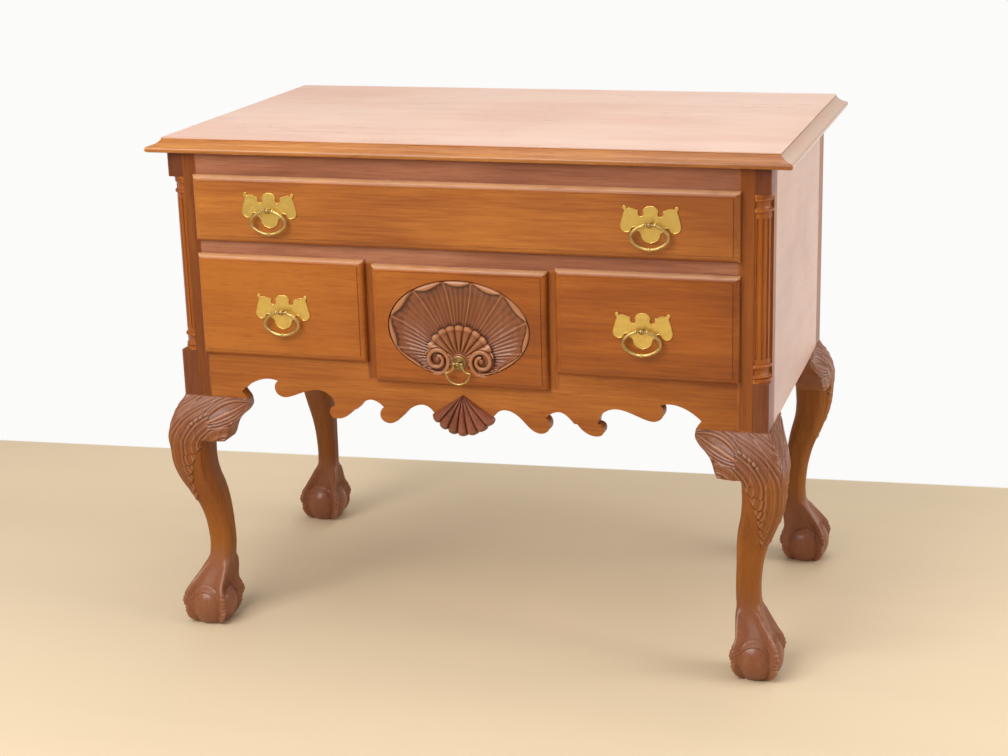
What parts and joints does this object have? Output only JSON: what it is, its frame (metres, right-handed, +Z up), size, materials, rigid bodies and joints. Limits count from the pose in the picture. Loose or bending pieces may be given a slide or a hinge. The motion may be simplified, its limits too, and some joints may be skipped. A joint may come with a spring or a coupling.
{
  "type": "lowboy",
  "caption": "Low chest on cabriole legs with ball and claw feet, scrolled apron, carved shell drawer, lipped drawers on runners and hinged brass bail pulls.",
  "frame": {"origin": "on the floor, in the middle of the width and of the whole depth from the front knees to the back of the top", "axes": "+X to the right as seen from the front, +Y to the back, +Z up"},
  "size_m": [0.964, 0.585, 0.775],
  "materials": {
    "top_mahogany": "satin",
    "rail_mahogany": "satin",
    "frame_mahogany": "satin",
    "side_mahogany": "satin",
    "drawer_mahogany": "satin",
    "block_mahogany": "satin",
    "carved_mahogany": "satin",
    "secondary_wood": "matte",
    "brass": "satin",
    "dark_brass": "satin",
    "steel": "satin"
  },
  "bodies": {
    "case": {"top": "top_mahogany", "top_rail": "rail_mahogany", "drawer_blade": "rail_mahogany", "apron": "frame_mahogany", "pendant_shell": "carved_mahogany", "divider_left": "frame_mahogany", "divider_right": "frame_mahogany", "side_panel_left": "side_mahogany", "side_panel_right": "side_mahogany", "back_panel": "secondary_wood", "leg_front_left": "carved_mahogany", "leg_front_right": "carved_mahogany", "leg_rear_left": "carved_mahogany", "leg_rear_right": "carved_mahogany", "quarter_column_left": "block_mahogany", "quarter_column_right": "block_mahogany", "column_plinths": "block_mahogany", "knee_brackets_front_left": "carved_mahogany", "knee_brackets_front_right": "carved_mahogany", "knee_bracket_rear_left": "carved_mahogany", "knee_bracket_rear_right": "carved_mahogany", "long_drawer_runners": "secondary_wood", "lower_drawer_runners": "secondary_wood", "drawer_guides": "secondary_wood", "long_drawer_kickers": "secondary_wood", "glue_blocks": "secondary_wood", "top_screws": "steel"},
    "long_drawer": {"long_drawer_front": "drawer_mahogany", "long_drawer_sides": "secondary_wood", "long_drawer_back": "secondary_wood", "long_drawer_bottom": "secondary_wood", "long_left_pull_plate": "brass", "long_left_pull_post": "dark_brass", "long_right_pull_plate": "brass", "long_right_pull_post": "dark_brass"},
    "left_drawer": {"left_drawer_front": "drawer_mahogany", "left_drawer_sides": "secondary_wood", "left_drawer_back": "secondary_wood", "left_drawer_bottom": "secondary_wood", "left_pull_plate": "brass", "left_pull_post": "dark_brass"},
    "shell_drawer": {"shell_drawer_front": "drawer_mahogany", "shell_drawer_sides": "secondary_wood", "shell_drawer_back": "secondary_wood", "shell_drawer_bottom": "secondary_wood", "shell_carving": "carved_mahogany", "shell_pull_plate": "dark_brass", "shell_pull_post": "dark_brass"},
    "right_drawer": {"right_drawer_front": "drawer_mahogany", "right_drawer_sides": "secondary_wood", "right_drawer_back": "secondary_wood", "right_drawer_bottom": "secondary_wood", "right_pull_plate": "brass", "right_pull_post": "dark_brass"},
    "long_left_bail": {"long_left_pull_bail": "brass"},
    "long_right_bail": {"long_right_pull_bail": "brass"},
    "left_bail": {"left_pull_bail": "brass"},
    "right_bail": {"right_pull_bail": "brass"},
    "shell_bail": {"shell_pull_bail": "brass"}
  },
  "joints": [
    {"name": "long_drawer_slide", "type": "slide", "parent": "case", "child": "long_drawer", "axis": [0, -1, 0], "range_m": [0, 0.33]},
    {"name": "left_drawer_slide", "type": "slide", "parent": "case", "child": "left_drawer", "axis": [0, -1, 0], "range_m": [0, 0.33]},
    {"name": "shell_drawer_slide", "type": "slide", "parent": "case", "child": "shell_drawer", "axis": [0, -1, 0], "range_m": [0, 0.33]},
    {"name": "right_drawer_slide", "type": "slide", "parent": "case", "child": "right_drawer", "axis": [0, -1, 0], "range_m": [0, 0.33]},
    {"name": "long_left_bail_hinge", "type": "hinge", "parent": "long_drawer", "child": "long_left_bail", "pos_m": [-0.286, -0.286, 0.6745], "axis": [-1, 0, 0], "range_deg": [0, 180]},
    {"name": "long_right_bail_hinge", "type": "hinge", "parent": "long_drawer", "child": "long_right_bail", "pos_m": [0.286, -0.286, 0.6745], "axis": [-1, 0, 0], "range_deg": [0, 180]},
    {"name": "left_bail_hinge", "type": "hinge", "parent": "left_drawer", "child": "left_bail", "pos_m": [-0.274, -0.286, 0.5215], "axis": [-1, 0, 0], "range_deg": [0, 180]},
    {"name": "right_bail_hinge", "type": "hinge", "parent": "right_drawer", "child": "right_bail", "pos_m": [0.274, -0.286, 0.5215], "axis": [-1, 0, 0], "range_deg": [0, 180]},
    {"name": "shell_bail_hinge", "type": "hinge", "parent": "shell_drawer", "child": "shell_bail", "pos_m": [0, -0.286, 0.45825], "axis": [-1, 0, 0], "range_deg": [0, 180]}
  ]
}
